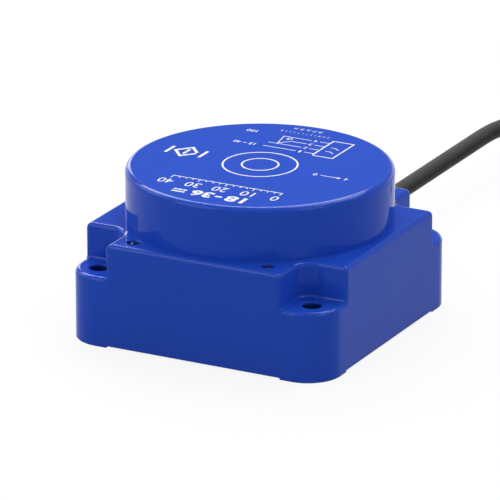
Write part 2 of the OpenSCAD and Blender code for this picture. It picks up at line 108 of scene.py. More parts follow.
def stand_camera():
    data = bpy.data.cameras.new("camera")
    data.lens, data.sensor_width = LENS, SENSOR
    data.shift_x, data.shift_y = -AIM_RIGHT, AIM_BELOW
    data.clip_start, data.clip_end = 0.05, 50
    camera = bpy.data.objects.new("camera", data)
    bpy.context.scene.collection.objects.link(camera)
    back = Vector((math.sin(AZIMUTH) * math.cos(ELEVATION),
                   -math.cos(AZIMUTH) * math.cos(ELEVATION), math.sin(ELEVATION)))
    camera.location = AIM + back * CAMERA_DISTANCE
    camera.rotation_mode = "QUATERNION"
    camera.rotation_quaternion = (-back).to_track_quat("-Z", "Y")
    bpy.context.scene.camera = camera


stand_camera()


# ---------------------------------------------------------------- shader nodes as arithmetic
class Value:
    """What a node gives out, with plain arithmetic on it."""

    def __init__(self, finish, socket):
        self.finish, self.socket = finish, socket

    def __add__(self, other):
        return self.finish.math("ADD", self, other)

    def __sub__(self, other):
        return self.finish.math("SUBTRACT", self, other)

    def __rsub__(self, other):
        return self.finish.math("SUBTRACT", other, self)

    def __mul__(self, other):
        return self.finish.math("MULTIPLY", self, other)

    def __pow__(self, other):
        return self.finish.math("POWER", self, other)

    __radd__, __rmul__ = __add__, __mul__


class Finish:
    """A material made of nodes, round one Principled shader."""

    def __init__(self, name, colour, roughness, **constants):
        self.material = bpy.data.materials.new(name)
        self.material.use_nodes = True
        self.tree = self.material.node_tree
        self.skin = self.tree.nodes["Principled BSDF"]
        self.colour = colour
        self.give("Base Color", colour)
        self.give("Roughness", roughness)
        for socket, value in constants.items():
            self.give(socket.replace("_", " ").replace("Ior", "IOR"), value)

    def give(self, socket, value):
        self.join(value, self.skin.inputs[socket])

    def join(self, value, socket):
        if isinstance(value, Value):
            self.tree.links.new(value.socket, socket)
        elif isinstance(value, tuple) and socket.type == "RGBA":
            socket.default_value = (*value[:3], 1)
        else:
            socket.default_value = value

    def node(self, kind, settings=None, inputs=None, output=0):
        """Adds a node: its settings first, then a value or a link for each input."""
        made = self.tree.nodes.new(kind)
        for name, value in (settings or {}).items():
            setattr(made, name, value)
        for name, value in (inputs or {}).items():
            self.join(value, made.inputs[name])
        return Value(self, made.outputs[output])

    def math(self, operation, first, second):
        return self.node("ShaderNodeMath", {"operation": operation}, {0: first, 1: second})

    def place(self):
        """The point on the piece, in its own coordinates."""
        return self.node("ShaderNodeTexCoord", output="Object")

    def along(self, axis):
        """Distance along one axis of the piece, in metres."""
        return self.node("ShaderNodeSeparateXYZ", inputs={0: self.place()}, output=axis)

    def upward(self):
        """How far the surface faces up: 1 on top, -1 underneath."""
        facing = self.node("ShaderNodeTexCoord", output="Normal")
        return self.node("ShaderNodeSeparateXYZ", inputs={0: facing}, output=2)

    def clouds(self, per_metre, detail=3.0):
        """Soft noise from 0 to 1."""
        inputs = {"Vector": self.place(), "Scale": per_metre, "Detail": detail}
        return self.node("ShaderNodeTexNoise", inputs=inputs)

    def grains(self, per_metre):
        """Distance to the nearest grain."""
        inputs = {"Vector": self.place(), "Scale": per_metre}
        return self.node("ShaderNodeTexVoronoi", inputs=inputs)

    def step(self, value, low, high, first=0.0, last=1.0):
        """Goes smoothly from first to last as value goes from low to high."""
        return self.node("ShaderNodeMapRange", {"interpolation_type": "SMOOTHSTEP"},
                         {0: value, 1: low, 2: high, 3: first, 4: last})

    def fall(self, value, low, high):
        """Goes smoothly from 1 to 0 as value goes from low to high."""
        return self.step(value, low, high, 1.0, 0.0)

    def blend(self, first, second, share):
        """One colour mixed into another."""
        return self.node("ShaderNodeMix", {"data_type": "RGBA"}, {0: share, 6: first, 7: second}, 2)

    def mottled(self, share, per_metre):
        """The colour, a little darker and lighter over the piece."""
        dark = tuple(c * (1 - share) for c in self.colour)
        light = tuple(min(1.0, c * (1 + share)) for c in self.colour)
        return self.blend(dark, light, self.clouds(per_metre))

    def vary(self, share, per_metre):
        self.give("Base Color", self.mottled(share, per_metre))

    def relief(self, height, depth):
        """Fine bumps: height from 0 to 1 stands for a depth in metres."""
        self.give("Normal", self.node("ShaderNodeBump", inputs={"Height": height, "Distance": depth}))


def blue_plastic():
    """Blue moulding compound, with its top edges polished by handling, and bores that are dull and
    painted darker below the lug tops as painted shade.
    """
    finish = Finish("blue_plastic", (0.016, 0.077, 0.56), 0.06, Specular_Ior_Level=0.07,
                    Coat_IOR=1.5, Coat_Roughness=0.09)
    bore_shade_blue, edge_starts, edge_is_full, gloss = (0.005, 0.022, 0.13), 0.65, 0.4, 0.5
    height = finish.along(2)
    across = finish.math("ABSOLUTE", finish.along(0), 0.0)
    along = finish.math("ABSOLUTE", finish.along(1), 0.0)
    over_lug = finish.math("MINIMUM", across, along)        # more than ARM over the lugs alone
    off_axis = (across - FIXING_AT) ** 2 + (along - FIXING_AT) ** 2
    # Painted shade: the fixing holes' walls go dark from 0.2 mm to 1 mm below the lug tops; the same
    # mask also makes them duller.
    bore = finish.fall(off_axis, (FIXING_R + 0.02 * mm) ** 2, (FIXING_R + 0.2 * mm) ** 2) \
        * finish.fall(height, LUG_TOP - mm, LUG_TOP - 0.2 * mm)
    finish.give("Base Color", finish.blend(finish.mottled(0.04, 45), bore_shade_blue, bore))
    finish.give("Roughness", 0.04 + 0.05 * finish.clouds(130, 4) + 0.3 * bore)
    polish = 0.0
    for top, radius in ((BODY_TOP - INK, HEAD_RIM), (DECK_TOP, DECK_EDGE), (LUG_TOP, LUG_EDGE)):
        edge = finish.step(height, top - edge_starts * radius, top - edge_is_full * radius) \
            * finish.fall(height, top - 0.012 * mm, top - 0.003 * mm)
        if top == LUG_TOP:
            edge = edge * finish.step(over_lug, ARM + 0.5 * mm, ARM + 1.5 * mm)
        polish = edge + polish
    pocket_foot = finish.step(height, LUG_TOP + 0.003 * mm, LUG_TOP + 0.02 * mm) \
        * finish.fall(height, LUG_TOP + 0.8 * FLOOR_FILLET, LUG_TOP + FLOOR_FILLET) \
        * finish.step(over_lug, ARM + 0.01 * mm, ARM + 0.08 * mm)
    finish.give("Coat Weight", gloss * (polish + pocket_foot))
    finish.relief(finish.clouds(2600, 2), 0.004 * mm)
    return finish.material


def white_ink():
    finish = Finish("white_ink", (0.86, 0.87, 0.9), 0.45, Specular_Ior_Level=0.3)
    finish.vary(0.05, 900)
    finish.relief(finish.clouds(6000, 2), 0.004 * mm)
    return finish.material


def jacket_vinyl():
    """Dark grey jacket with a dull sheen, faint draw marks and patchy dust, its upper side painted
    lighter as painted light and its underside painted darker as painted shade.
    """
    finish = Finish("jacket_vinyl", (0.045, 0.045, 0.046), 0.45, Specular_Ior_Level=0.06)
    dust = finish.clouds(240, 5)
    painted_lit_top = finish.blend((0.06, 0.06, 0.061), (0.08, 0.08, 0.081), dust)
    painted_shaded_underside = finish.blend((0.011, 0.011, 0.012), (0.017, 0.017, 0.018), dust)
    # Painted light and shade: faces that point up take the lighter colour, faces that point down the
    # darker one.
    finish.give("Base Color", finish.blend(painted_shaded_underside, painted_lit_top, finish.step(finish.upward(), 0.15, 0.85)))
    finish.give("Roughness", 0.34 + 0.2 * dust)
    finish.relief(finish.clouds(1800, 4), 0.02 * mm)
    return finish.material


def relief_rubber():
    """Black rubber, dull and finely pitted."""
    finish = Finish("relief_rubber", (0.022, 0.022, 0.023), 0.6, Specular_Ior_Level=0.4)
    finish.vary(0.2, 400)
    finish.give("Roughness", 0.5 + 0.2 * finish.clouds(700, 4))
    finish.relief(finish.grains(3200), 0.02 * mm)
    return finish.material


def plain_plastic(name, colour, roughness, depth=0.008):
    """Moulded or extruded plastic with a fine grain."""
    finish = Finish(name, colour, roughness)
    finish.vary(0.07, 150)
    finish.give("Roughness", roughness - 0.06 + 0.12 * finish.clouds(500, 3))
    finish.relief(finish.clouds(3000, 3), depth * mm)
    return finish.material


def smoked_lens(name, colour):
    """Tinted clear plastic, unlit, with a bluish shine."""
    finish = Finish(name, colour, 0.12, Specular_Ior_Level=0.7, Specular_Tint=(0.4, 0.6, 1.0),
                    Transmission_Weight=0.3)
    finish.give("Base Color", finish.blend(colour, (0.01, 0.012, 0.02), finish.clouds(500, 2)))
    return finish.material


def metal(name, colour, roughness, depth=0.004):
    """Plain or plated metal, a little uneven in its shine."""
    finish = Finish(name, colour, roughness, Metallic=1.0)
    finish.vary(0.08, 300)
    uneven = finish.clouds(1500, 4)
    finish.give("Roughness", roughness - 0.08 + 0.16 * uneven)
    finish.relief(uneven, depth * mm)
    return finish.material


def wound_copper():
    """Enamelled wire, laid in close turns across the piece's height, each turn painted darker towards
    the gaps beside it as painted shade.
    """
    finish = Finish("wound_copper", (0.62, 0.24, 0.09), 0.28, Metallic=0.85, Coat_Weight=0.5)
    wire_r = 0.15 * mm
    turns = finish.math("PINGPONG", finish.along(2) + 0.1 * mm * finish.clouds(90), wire_r)
    turn_shade_and_profile = finish.math("DIVIDE", turns, wire_r)
    # Painted shade: the colour darkens towards the edges of each turn; the same ramp shapes the bump.
    finish.give("Base Color", finish.blend((0.2, 0.06, 0.02), (0.72, 0.3, 0.11), turn_shade_and_profile))
    finish.relief(turn_shade_and_profile, 0.12 * mm)
    return finish.material


def ferrite():
    """Sintered ferrite: matt, with pale grains."""
    finish = Finish("ferrite", (0.03, 0.03, 0.033), 0.62)
    speck = finish.fall(finish.grains(1600), 0.1, 0.3)
    finish.give("Base Color", finish.blend((0.022, 0.022, 0.025), (0.09, 0.09, 0.095), speck))
    finish.relief(finish.clouds(1500, 5), 0.05 * mm)
    return finish.material


def solder_mask():
    """Green solder mask over a grid of fine tracks."""
    finish = Finish("solder_mask", (0.012, 0.13, 0.05), 0.24)
    lanes = finish.math("PINGPONG", finish.along(0), 1.2 * mm)
    tracks = finish.fall(lanes, 0.3 * mm, 0.42 * mm)
    broken = finish.step(finish.clouds(110, 0), 0.47, 0.53)
    finish.give("Base Color", finish.blend((0.01, 0.11, 0.042), (0.03, 0.24, 0.09), tracks * broken))
    finish.relief(tracks * broken, 0.03 * mm)
    return finish.material


def cast_resin():
    finish = Finish("cast_resin", (0.02, 0.02, 0.024), 0.3)
    finish.vary(0.25, 120)
    finish.relief(finish.clouds(140, 2), 0.15 * mm)
    return finish.material


def foam_pad():
    finish = Finish("foam_pad", (0.55, 0.55, 0.52), 0.85)
    cells = finish.grains(1500)
    finish.give("Base Color", finish.blend((0.4, 0.4, 0.38), (0.62, 0.62, 0.6), cells))
    finish.relief(cells, 0.15 * mm)
    return finish.material


def fired_ceramic():
    """Matt fired ceramic with a fine grain."""
    finish = Finish("fired_ceramic", (0.3, 0.17, 0.08), 0.45)
    finish.vary(0.15, 900)
    finish.relief(finish.clouds(2500, 4), 0.01 * mm)
    return finish.material


FINISHES = {
    "blue_plastic": blue_plastic(),
    "ink": white_ink(),
    "jacket": jacket_vinyl(),
    "relief_rubber": relief_rubber(),
    "black_plastic": plain_plastic("black_plastic", (0.012, 0.012, 0.013), 0.38),
    "bobbin": plain_plastic("natural_nylon", (0.6, 0.52, 0.38), 0.5),
    "chip": plain_plastic("chip_package", (0.016, 0.016, 0.018), 0.55, 0.02),
    "trimmer": plain_plastic("trimmer_body", (0.01, 0.06, 0.42), 0.35),
    "brown_core": plain_plastic("brown_core", (0.13, 0.045, 0.016), 0.36),
    "black_core": plain_plastic("black_core", (0.012, 0.012, 0.012), 0.36),
    "white_core": plain_plastic("white_core", (0.72, 0.71, 0.68), 0.36),
    "blue_core": plain_plastic("blue_core", (0.015, 0.07, 0.42), 0.36),
    "lens_green": smoked_lens("smoked_lens_power", (0.015, 0.04, 0.12)),
    "lens_amber": smoked_lens("smoked_lens_output", (0.025, 0.035, 0.11)),
    "lamp_green": smoked_lens("tinted_epoxy_green", (0.12, 0.4, 0.08)),
    "lamp_amber": smoked_lens("tinted_epoxy_amber", (0.7, 0.3, 0.03)),
    "steel": metal("zinc_plate", (0.55, 0.56, 0.58), 0.32),
    "tin": metal("tinned_copper", (0.7, 0.68, 0.62), 0.3, 0.02),
    "can": metal("sleeved_can", (0.12, 0.14, 0.3), 0.35),
    "copper": wound_copper(),
    "ferrite": ferrite(),
    "board": solder_mask(),
    "resin": cast_resin(),
    "foam": foam_pad(),
    "ceramic": fired_ceramic(),
}


def dress(piece, slot):
    """Gives a piece the finish stored under this slot."""
    piece.data.materials.clear()
    piece.data.materials.append(FINISHES[slot])


# ---------------------------------------------------------------- workshop: adding, cutting, rounding
def only(*pieces):
    """Selects these pieces alone, the first of them active."""
    bpy.ops.object.select_all(action="DESELECT")
    for piece in pieces:
        piece.select_set(True)
    bpy.context.view_layer.objects.active = pieces[0]


def settle(piece, name):
    """Puts the piece's place, turn and size into its mesh."""
    piece.name = piece.data.name = name
    only(piece)
    bpy.ops.object.transform_apply(location=True, rotation=True, scale=True)
    return piece


def block(name, low, high):
    middle, size = (Vector(low) + Vector(high)) / 2, Vector(high) - Vector(low)
    bpy.ops.mesh.primitive_cube_add(size=1, location=middle, scale=size)
    return settle(bpy.context.object, name)


def rod(name, middle, radius, length, turn=(0, 0, 0), sides=64):
    bpy.ops.mesh.primitive_cylinder_add(vertices=sides, radius=radius, depth=length,
                                        location=middle, rotation=turn)
    return settle(bpy.context.object, name)


def upright_rod(name, x, y, low, high, radius, sides):
    return rod(name, (x, y, (low + high) / 2), radius, high - low, sides=sides)


def put_modifier(piece, kind, **settings):
    modifier = piece.modifiers.new(kind.lower(), kind)
    for name, value in settings.items():
        setattr(modifier, name, value)
    only(piece)
    bpy.ops.object.modifier_apply(modifier=modifier.name)
    return piece


def combine(piece, operation, tools):
    for tool in tools:
        put_modifier(piece, "BOOLEAN", operation=operation, solver="EXACT", object=tool)
        bpy.data.objects.remove(tool)
    return piece


def cut(piece, *tools):
    return combine(piece, "DIFFERENCE", tools)


def add_on(piece, *others):
    return combine(piece, "UNION", others)


def joined(name, pieces):
    only(*pieces)
    bpy.ops.object.join()
    bpy.context.object.name = bpy.context.object.data.name = name
    return bpy.context.object


def weld(piece):
    """Merges doubled points and turns all faces outwards."""
    only(piece)
    bpy.ops.object.mode_set(mode="EDIT")
    bpy.ops.mesh.select_all(action="SELECT")
    bpy.ops.mesh.remove_doubles(threshold=WELD)
    bpy.ops.mesh.normals_make_consistent(inside=False)
    bpy.ops.object.mode_set(mode="OBJECT")
    return piece


def bevel_edges(piece, chosen, radius, steps):
    """Rounds the edges whose two end points pass the test."""
    only(piece)
    bpy.ops.object.mode_set(mode="EDIT")
    bpy.ops.mesh.select_mode(type="EDGE")
    bpy.ops.mesh.select_all(action="DESELECT")
    mesh = bmesh.from_edit_mesh(piece.data)
    for edge in mesh.edges:
        edge.select_set(chosen(edge.verts[0].co, edge.verts[1].co))
    bmesh.update_edit_mesh(piece.data)
    bpy.ops.mesh.bevel(offset=radius, segments=steps, profile=0.5, affect="EDGES",
                       clamp_overlap=False)
    bpy.ops.object.mode_set(mode="OBJECT")
    return piece


def round_by_weight(piece, radius_of, steps, sharp=math.radians(35)):
    """Rounds every sharp edge to the radius that radius_of gives for its two end points."""
    mesh = bmesh.new()
    mesh.from_mesh(piece.data)
    layer = mesh.edges.layers.float.new("bevel_weight_edge")
    radii = {edge: radius_of(edge.verts[0].co, edge.verts[1].co) for edge in mesh.edges
             if edge.calc_face_angle(0) > sharp}
    widest = max(radii.values())
    for edge, radius in radii.items():
        edge[layer] = radius / widest
    mesh.to_mesh(piece.data)
    mesh.free()
    return put_modifier(piece, "BEVEL", width=widest, segments=steps, limit_method="WEIGHT",
                        use_clamp_overlap=False, miter_outer="MITER_ARC")


def smooth(piece, angle=32):
    """Smooth shading with crisp flats: fillets take their normals from the faces beside them."""
    only(piece)
    bpy.ops.object.shade_smooth_by_angle(angle=math.radians(angle))
    return put_modifier(piece, "WEIGHTED_NORMAL", keep_sharp=True, weight=50)


def arc(middle, radius, start, stop, steps):
    """Points on an arc, in degrees, as pairs of distance from the axis and along it."""
    turns = [math.radians(start + (stop - start) * i / steps) for i in range(steps + 1)]
    return [(middle[0] + radius * math.cos(t), middle[1] + radius * math.sin(t)) for t in turns]


def turned(name, profile, foot, steps, axis="Z", closed=False):
    """A piece turned on a lathe: profile is pairs of distance from the axis and along it."""
    outward = Vector((1, 0, 0))
    forward = Vector((0, 0, 1)) if axis == "Z" else Vector((0, 1, 0))
    points = [Vector(foot) + r * outward + h * forward for r, h in profile]
    bpy.ops.mesh.primitive_plane_add(size=mm, location=points[0])
    piece = settle(bpy.context.object, name)
    bpy.ops.object.mode_set(mode="EDIT")
    bpy.ops.mesh.select_mode(type="VERT")
    bpy.ops.mesh.merge(type="CENTER")
    for here, there in zip(points, points[1:] + (points[:1] if closed else [])):
        bpy.ops.mesh.extrude_region_move(TRANSFORM_OT_translate={"value": there - here})
    bpy.ops.mesh.select_all(action="SELECT")
    bpy.ops.mesh.spin(steps=steps, angle=2 * math.pi, center=foot, axis=forward)
    bpy.ops.object.mode_set(mode="OBJECT")
    return weld(piece)


def tube(name, points, radius, sides_steps):
    """A round cord along these points."""
    curve = bpy.data.curves.new(name, "CURVE")
    curve.dimensions = "3D"
    curve.bevel_depth, curve.bevel_resolution = radius, sides_steps
    curve.use_fill_caps = True
    line = curve.splines.new("POLY")
    line.points.add(len(points) - 1)
    for spot, point in zip(line.points, points):
        spot.co = (*point, 1)
    line.use_smooth = True
    piece = bpy.data.objects.new(name, curve)
    bpy.context.scene.collection.objects.link(piece)
    return piece


def tube_mesh(name, points, radius, sides_steps):
    piece = tube(name, points, radius, sides_steps)
    only(piece)
    bpy.ops.object.convert(target="MESH")
    piece = bpy.context.object
    piece.name = piece.data.name = name
    return weld(piece)


# ---------------------------------------------------------------- the lead
ROUTE = [(0, 40, 10.5), (0, 60, 10.5), (0, 80, 10.5), (0, 100, 10.5), (0, 120, 10.5),
         (0, 140, 10.5), (0, 150, 10.5), (2, 161, 9.5), (8.5, 170, 7.5), (17.5, 176.5, 5),
         (28.5, 178.5, 3.6), (35, 178.5, 3.35), (41, 178.5, 3.35)]
TAIL = [(93.5, 126, 18.65), (93.5, 118, 18.65), (93.5, 110, 17.2), (93.5, 100, 13.2),
        (93.5, 90, 8.6), (93.5, 80, 5), (93.5, 70, 3), (93.5, 60, 2.6), (93.5, 50, 2.6),
        (93.5, 40, 2.6)]
COIL_MIDDLE = Vector((60, 145, 0)) * mm
TURN_OUT, TURN_IN = 33.5 * mm, 23.1 * mm          # middle of the outermost and innermost turn
LAYER_LOW, LAYER_STEP, LAYERS = 3.35 * mm, 5.1 * mm, 4
TURNS_A_LAYER, RISE_TURNS, LAST_TURNS = 2, 1 / 3, 1 / 4
POINTS_A_TURN = 48
STEPS_A_SPAN = 3


def through(points):
    """A smooth curve drawn along the points, from the first to the last, in metres."""
    p = [Vector(point) * mm for point in points]
    p = [2 * p[0] - p[1], *p, 2 * p[-1] - p[-2]]
    line = []
    for a, b, c, d in zip(p, p[1:], p[2:], p[3:]):
        for step in range(STEPS_A_SPAN):
            t = step / STEPS_A_SPAN
            line.append(((1 - t) ** 3 * a + (3 * t ** 3 - 6 * t ** 2 + 4) * b
                         + (3 * t ** 2 - 3 * t ** 3 + 3 * t + 1) * c + t ** 3 * d) / 6)
    return line + [Vector(points[-1]) * mm]


def coil_turns():
    """Turns that lie beside and on each other: in, up, out, up, in, up, out."""
    stretches = []
    for layer in range(LAYERS):
        start, stop = (TURN_OUT, TURN_IN) if layer % 2 == 0 else (TURN_IN, TURN_OUT)
        height = LAYER_LOW + layer * LAYER_STEP
        stretches.append((TURNS_A_LAYER, start, stop, height, height))
        if layer < LAYERS - 1:
            stretches.append((RISE_TURNS, stop, stop, height, height + LAYER_STEP))
    stretches.append((LAST_TURNS, TURN_OUT, TURN_OUT, height, height))
    line, turned_so_far = [], 0.0
    for turns, r_start, r_stop, z_start, z_stop in stretches:
        count = round(turns * POINTS_A_TURN)
        for i in range(count):
            share = i / count
            angle = math.pi / 2 - 2 * math.pi * (turned_so_far + turns * share)
            radius = r_start + (r_stop - r_start) * share
            line.append(COIL_MIDDLE + Vector((radius * math.cos(angle), radius * math.sin(angle),
                                              z_start + (z_stop - z_start) * share)))
        turned_so_far += turns
    return line + [COIL_MIDDLE + Vector((TURN_OUT, 0, height))]


LEAD_LINE = through(ROUTE) + coil_turns() + through(TAIL)
flex = tube("lead_jacket", LEAD_LINE, JACKET_R, 6)
dress(flex, "jacket")
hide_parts("lead", "lead_coil", "lead_tail")
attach(flex, "root")
flex.visible_glossy = False                       # the photograph shows no mirror image of it

# The stripped end: four cores that lie side by side, with tinned strands at their tips
END = Vector(TAIL[-1])
CORE_R = 0.65                                     # these are in millimetres
CORE_APART = 0.9
CORE_ENDS = {"end_brown": (-7, -34, -1, 1), "end_black": (-2.4, -36, -1, -1),
             "end_white": (2.4, -36, 1, -1), "end_blue": (7, -34, 1, 1)}
TIP_LENGTH, STRANDS, STRAND_R, TWIST_STEPS = 6, 6, 0.15, 12


def end_core(name, x, y, side, rise):
    lying = CORE_R + 0.1 - END.z
    near_x, near_z = side * CORE_APART, rise * CORE_APART
    spots = [(near_x, 0, near_z), (near_x, -2, near_z), (1.3 * near_x, -6, 0.8 * near_z),
             (0.6 * x, -13, lying + 0.1), (0.9 * x, -21, lying), (x, y + 6, lying), (x, y, lying)]
    colour = name.replace("end_", "") + "_core"
    core = tube_mesh(colour + "_end", through([END + Vector(spot) for spot in spots]), CORE_R * mm, 4)
    smooth(core, 50)
    dress(core, colour)
    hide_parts(name)
    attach(core, "root")
    return core, END + Vector((x, y, lying))


def tinned_tip(start):
    """Strands twisted round a middle one."""
    strands = [tube_mesh("strand", [start * mm, (start - Vector((0, TIP_LENGTH, 0))) * mm],
                         STRAND_R * mm, 1)]
    for i in range(STRANDS):
        line = []
        for step in range(TWIST_STEPS + 1):
            share = step / TWIST_STEPS
            angle = 2 * math.pi * (i / STRANDS + share)
            line.append((start + Vector((2 * STRAND_R * math.cos(angle), -TIP_LENGTH * share,
                                         2 * STRAND_R * math.sin(angle)))) * mm)
        strands.append(tube_mesh("strand", line, STRAND_R * mm, 1))
    return joined("tip", strands)


cores_and_tips = [end_core(name, *place) for name, place in CORE_ENDS.items()]
tips = joined("tinned_tips", [tinned_tip(start) for _, start in cores_and_tips])
smooth(tips, 60)
dress(tips, "tin")
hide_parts("end_tips")
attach(tips, "root")

# Two ties hold the coil
TIE_AT, TIE_WIDTH, TIE_T, TIE_SLACK = (45, 225), 3 * mm, 0.7 * mm, 0.1 * mm
POINTS_ROUND_TURN = 24


def turns_at(degrees):
    """Where the coil's turns pass one direction from its middle: distance out and height."""
    across = Matrix.Rotation(math.radians(-degrees), 3, "Z")
    line = [across @ (point - COIL_MIDDLE) for point in coil_turns()]
    places = []
    for a, b in zip(line, line[1:]):
        if a.x > 0 and a.y >= 0 > b.y:
            place = a.lerp(b, a.y / (a.y - b.y))
            places.append((place.x, place.z))
    return places


def drawn_tight(turns):
    """A flat band along the shortest way round these turns."""
    reach = JACKET_R + TIE_SLACK
    spots = [Vector(spot) for turn in turns
             for spot in arc(turn, reach, 0, 360, POINTS_ROUND_TURN)[:-1]]
    outline = [spots[i] for i in convex_hull_2d(spots)]
    curve = bpy.data.curves.new("band", "CURVE")
    curve.dimensions, curve.fill_mode, curve.extrude = "2D", "NONE", TIE_WIDTH / 2
    loop = curve.splines.new("POLY")
    loop.points.add(len(outline) - 1)
    for point, spot in zip(loop.points, outline):
        point.co = (*spot, 0, 1)
    loop.use_cyclic_u = True
    band = bpy.data.objects.new("band", curve)
    bpy.context.scene.collection.objects.link(band)
    only(band)
    bpy.ops.object.convert(target="MESH")
    band = bpy.context.object
    band.rotation_euler.x = math.pi / 2
    weld(settle(band, "band"))
    put_modifier(band, "SOLIDIFY", thickness=TIE_T, offset=1.0, use_even_offset=True)
    return round_by_weight(weld(band), lambda a, b: 0.15 * mm, 2, math.radians(60))


def coil_tie(degrees):
    """A flat band round the bundle, with the band's end run through a small head on top."""
    turns = turns_at(degrees)
    top = max(height for _, height in turns)
    upper = [out for out, height in turns if height > top - mm]
    middle, top = sum(upper) / len(upper), top + JACKET_R + TIE_SLACK + TIE_T
    band = drawn_tight(turns)
    head_half, head_side, tail_side = 2.4 * mm, 2.1 * mm, 1.1 * mm
    head = block("head", (middle - head_half, -head_side, top - 0.3 * mm),
                 (middle + head_half, head_side, top + 2.2 * mm))
    round_by_weight(head, lambda a, b: 0.45 * mm, 3)
    tail = block("tail", (middle - head_half - 4 * mm, -tail_side, top + 0.1 * mm),
                 (middle + head_half + 0.8 * mm, tail_side, top + 1.1 * mm))
    round_by_weight(tail, lambda a, b: 0.15 * mm, 2)
    tie = joined("tie", [band, head, tail])
    tie.rotation_euler.z = math.radians(degrees)
    tie.location = COIL_MIDDLE
    return settle(tie, "tie")


ties = joined("lead_ties", [coil_tie(degrees) for degrees in TIE_AT])
smooth(ties, 40)
dress(ties, "black_plastic")
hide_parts("coil_ties")
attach(ties, "root")


# ---------------------------------------------------------------- the bend relief
def grooved_relief():
    """Flange inside the wall, neck through it, collar outside and a grooved taper."""
    bore, flange, collar, tip = JACKET_R + 0.05 * mm, 5.2 * mm, 5.5 * mm, 3.6 * mm
    start, stop = RELIEF_LOW.y, RELIEF_HIGH.y
    inside, collar_stop, edge = HALF - WALL, HALF + 1.5 * mm, 0.4 * mm
    profile = [(bore, start), *arc((flange - edge, start + edge), edge, -90, 0, 4),
               (flange, inside), (SHANK_R, inside), (SHANK_R, HALF),
               *arc((collar - edge, HALF + edge), edge, -90, 0, 4),
               *arc((collar - edge, collar_stop - edge), edge, 0, 90, 4)]
    grooves, points_each = 5, 12
    neck, deepest, shallower = 4.75 * mm, 0.62 * mm, 0.3 * mm
    first, last = collar_stop + 0.6 * mm, stop - 1.2 * mm
    profile.append((neck, collar_stop))
    for i in range(grooves * points_each + 1):
        share = i / (grooves * points_each)
        along = first + (last - first) * share
        body = neck + (tip - neck) * (along - collar_stop) / (stop - collar_stop)
        depth = deepest - shallower * share
        ripple = (0.5 - 0.5 * math.cos(2 * math.pi * grooves * share)) ** 1.6
        profile.append((body - depth * ripple, along))
    profile += [*arc((tip - edge, stop - edge), edge, 0, 90, 4), (bore, stop)]
    return turned("lead_bend_relief", profile, (0, 0, LEAD_Z), 72, "Y", closed=True)


relief = grooved_relief()
smooth(relief, 40)
dress(relief, "relief_rubber")
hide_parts("bend_relief")
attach(relief, "root")


# ---------------------------------------------------------------- the housing
def near(a, b):
    return abs(a - b) < SLACK


def corner_places(x, y):
    return [(sx * x, sy * y) for sx in (-1, 1) for sy in (-1, 1)]


def pocket_cutter(sx, sy):
    """The air above one lug, with its rounded inner corner."""
    reach = HALF + BEYOND
    xs, ys = sorted((sx * ARM, sx * reach)), sorted((sy * ARM, sy * reach))
    tool = block("pocket", (xs[0], ys[0], LUG_TOP), (xs[1], ys[1], DECK_TOP + BEYOND))
    return bevel_edges(tool, lambda a, b: near(abs(a.x), ARM) and near(abs(a.y), ARM)
                       and near(abs(b.x), ARM) and near(abs(b.y), ARM), POCKET_R, 12)


def outer_block():
    """Square block with round corners, pockets, foot pads, holes and all outer edges rounded."""
    body = block("housing_shell", (-HALF, -HALF, 0), (HALF, HALF, DECK_TOP))
    bevel_edges(body, lambda a, b: abs(a.z - b.z) > mm, CORNER_R, 20)
    cut(body, *(pocket_cutter(sx, sy) for sx, sy in corner_places(1, 1)))
    side, under = HALF + BEYOND, -BEYOND
    cut(body, block("relief", (-side, -ARM, under), (side, ARM, FOOT_RELIEF)),
        block("relief", (-ARM, -side, under), (ARM, side, FOOT_RELIEF)))
    cut(body, *(upright_rod("hole", x, y, under, LUG_TOP + mm, FIXING_R, 48)
                for x, y in corner_places(FIXING_AT, FIXING_AT)))
    cut(body, *(upright_rod("window", x, LED_Y, DECK_TOP - DECK_T - mm, DECK_TOP + mm, WINDOW_R, 40)
                for x in (-LED_X, LED_X)))
    return round_by_weight(body, outer_radius, 5)


def outer_radius(a, b):
    """The radius of the outer edge between a and b."""
    upright = abs(a.z - b.z) > mm
    middle = (a + b) / 2
    hole = min(math.hypot(abs(middle.x) - FIXING_AT, abs(middle.y) - FIXING_AT),
               math.hypot(abs(middle.x) - LED_X, middle.y - LED_Y))
    if hole < FIXING_R + 0.1 * mm:
        return HOLE_EDGE if middle.z > LUG_TOP - mm else 0.0
    if upright:
        return UPRIGHT_EDGE if middle.z > LUG_TOP else 0.0
    if near(middle.z, DECK_TOP):
        return DECK_EDGE
    if near(middle.z, LUG_TOP):
        outside = near(abs(middle.x), HALF) or near(abs(middle.y), HALF) \
            or (abs(middle.x) > HALF - CORNER_R and abs(middle.y) > HALF - CORNER_R)
        return LUG_EDGE if outside else FLOOR_FILLET
    return FOOT_EDGE


def inner_space(grow, low, high):
    """The outline of the inner space, as three cutting tools: two bars of a cross and a disc."""
    arm, reach = ARM - WALL + grow, HALF - WALL + grow
    return [block("space", (-arm, -reach, low), (arm, reach, high)),
            block("space", (-reach, -arm, low), (reach, arm, high)),
            upright_rod("space", 0, 0, low, high, HEAD_R - WALL + grow, 192)]


